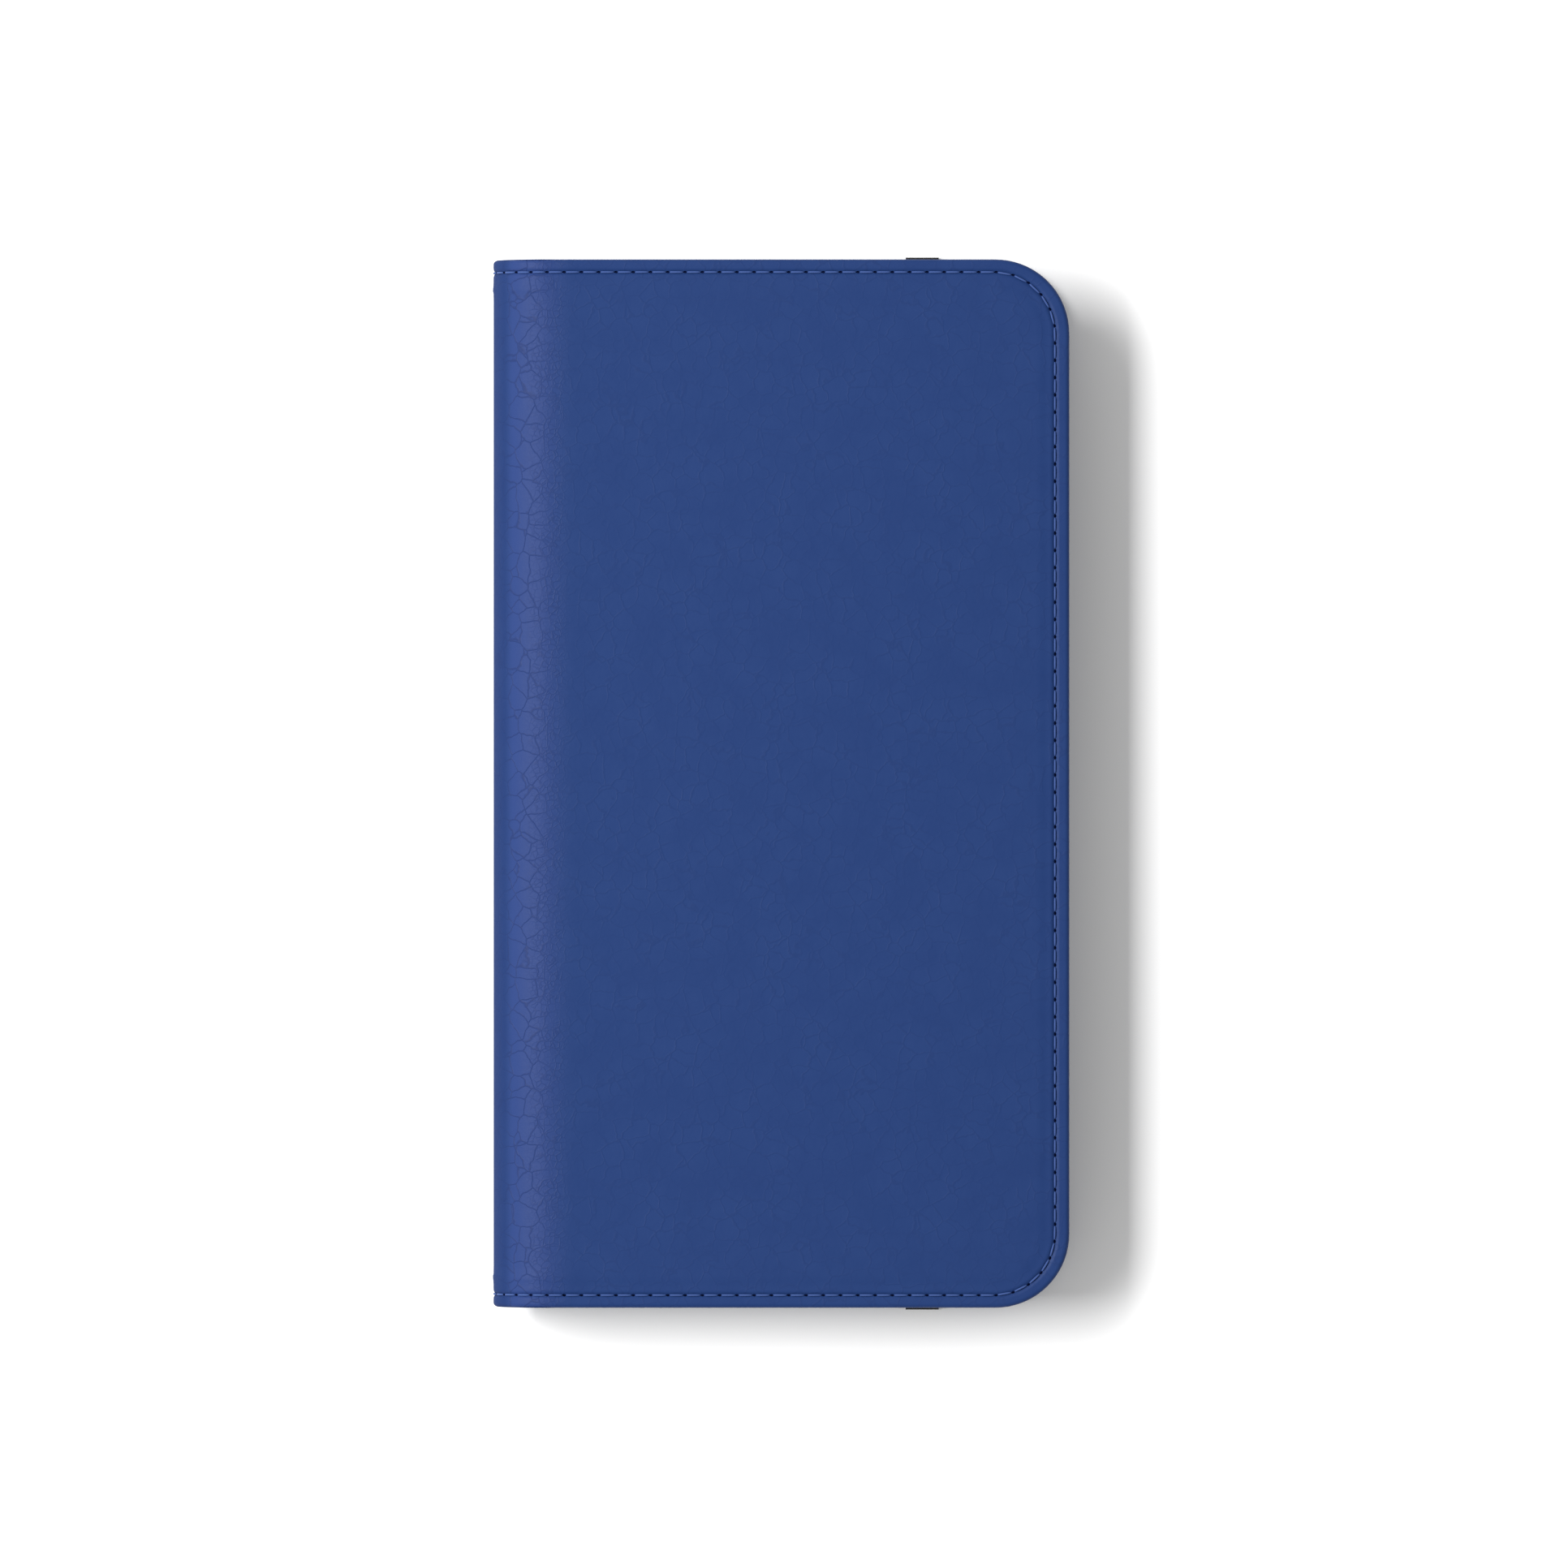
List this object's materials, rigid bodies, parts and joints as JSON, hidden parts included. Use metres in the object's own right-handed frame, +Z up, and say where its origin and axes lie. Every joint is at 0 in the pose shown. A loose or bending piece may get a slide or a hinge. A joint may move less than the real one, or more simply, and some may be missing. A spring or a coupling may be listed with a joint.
{
  "type": "phone wallet case",
  "caption": "Folio phone wallet case with a rounded spine, stitched leather-look covers, a snap-in phone shell, card pockets and an elastic closing band.",
  "frame": {"origin": "below the middle of the closed case, on the surface that it lies on", "axes": "+X from the spine towards the free edge, +Y towards the phone's top end, +Z up out of the front cover"},
  "size_m": [0.0868, 0.16, 0.0176],
  "materials": {
    "blue_leather": "satin fine grain",
    "black_lining": "soft microfibre",
    "pocket_leather": "matt fine grain",
    "grey_board": "plain",
    "seam_thread": "twisted polyester",
    "black_elastic": "woven elastic",
    "black_shell": "fine satin",
    "adhesive_pad": "foam tape"
  },
  "bodies": {
    "back_cover": {"back_cover_leather": "blue_leather", "back_cover_board": "grey_board", "back_cover_lining": "black_lining", "back_seam_thread": "seam_thread", "elastic_end_top": "black_elastic", "elastic_end_bottom": "black_elastic", "shell_adhesive_pad": "adhesive_pad", "phone_shell": "black_shell"},
    "spine_strip_1": {"spine_leather_1": "blue_leather", "spine_lining_1": "black_lining"},
    "spine_strip_2": {"spine_leather_2": "blue_leather", "spine_lining_2": "black_lining"},
    "spine_strip_3": {"spine_leather_3": "blue_leather", "spine_lining_3": "black_lining"},
    "front_cover": {"front_cover_leather": "blue_leather", "front_cover_board": "grey_board", "front_cover_lining": "black_lining", "front_seam_thread": "seam_thread", "cash_pocket_panel": "pocket_leather", "card_slot_panel_1": "pocket_leather", "card_slot_panel_2": "pocket_leather", "card_slot_panel_3": "pocket_leather"},
    "elastic_band": {"elastic_band": "black_elastic"}
  },
  "joints": [
    {"name": "cover_fold_1", "type": "hinge", "parent": "back_cover", "child": "spine_strip_1", "pos_m": [-0.03836, 0, 0.0015], "axis": [0, -1, 0], "range_deg": [0, 45]},
    {"name": "cover_fold_2", "type": "hinge", "parent": "spine_strip_1", "child": "spine_strip_2", "pos_m": [-0.04294, 0, 0.00608], "axis": [0, -1, 0], "range_deg": [0, 45]},
    {"name": "cover_fold_3", "type": "hinge", "parent": "spine_strip_2", "child": "spine_strip_3", "pos_m": [-0.04294, 0, 0.01255], "axis": [0, -1, 0], "range_deg": [0, 45]},
    {"name": "cover_fold_4", "type": "hinge", "parent": "spine_strip_3", "child": "front_cover", "pos_m": [-0.03836, 0, 0.01713], "axis": [0, -1, 0], "range_deg": [0, 45]},
    {"name": "elastic_pull_over", "type": "slide", "parent": "back_cover", "child": "elastic_band", "axis": [0, 0, 1], "range_m": [0, 0.0177], "deforming": ["elastic_band"]}
  ],
  "couplings": [
    {"joint": "cover_fold_2", "follows": "cover_fold_1", "ratio": 1},
    {"joint": "cover_fold_3", "follows": "cover_fold_1", "ratio": 1},
    {"joint": "cover_fold_4", "follows": "cover_fold_1", "ratio": 1}
  ]
}
